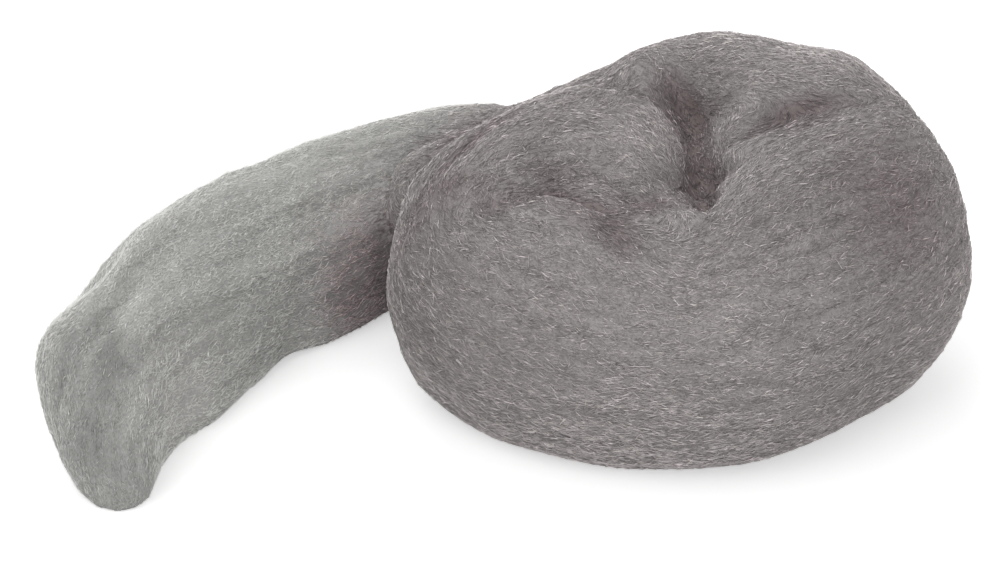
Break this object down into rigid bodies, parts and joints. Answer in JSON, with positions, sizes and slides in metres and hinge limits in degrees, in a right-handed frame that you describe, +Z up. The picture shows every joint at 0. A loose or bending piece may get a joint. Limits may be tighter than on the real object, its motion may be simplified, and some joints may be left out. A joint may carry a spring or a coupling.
{
  "type": "steel wool pad",
  "caption": "Palm-sized pad of fine steel wool: a soft flat ribbon of fibres wound into a squat roll with its free end trailing away, for scouring and polishing.",
  "frame": {"origin": "middle of the bounding box in plan, on the plane that the pad rests on", "axes": "+X runs from the loose tail to the roll, +Y points to the side where the tail leaves the roll, +Z is up"},
  "size_m": [0.1786, 0.1052, 0.059],
  "materials": {
    "steel_wool": "mass of fine, dull grey steel fibres with scattered bright glints, lying along the ribbon"
  },
  "bodies": {
    "root": {"wool_roll": "steel_wool"}
  },
  "joints": []
}
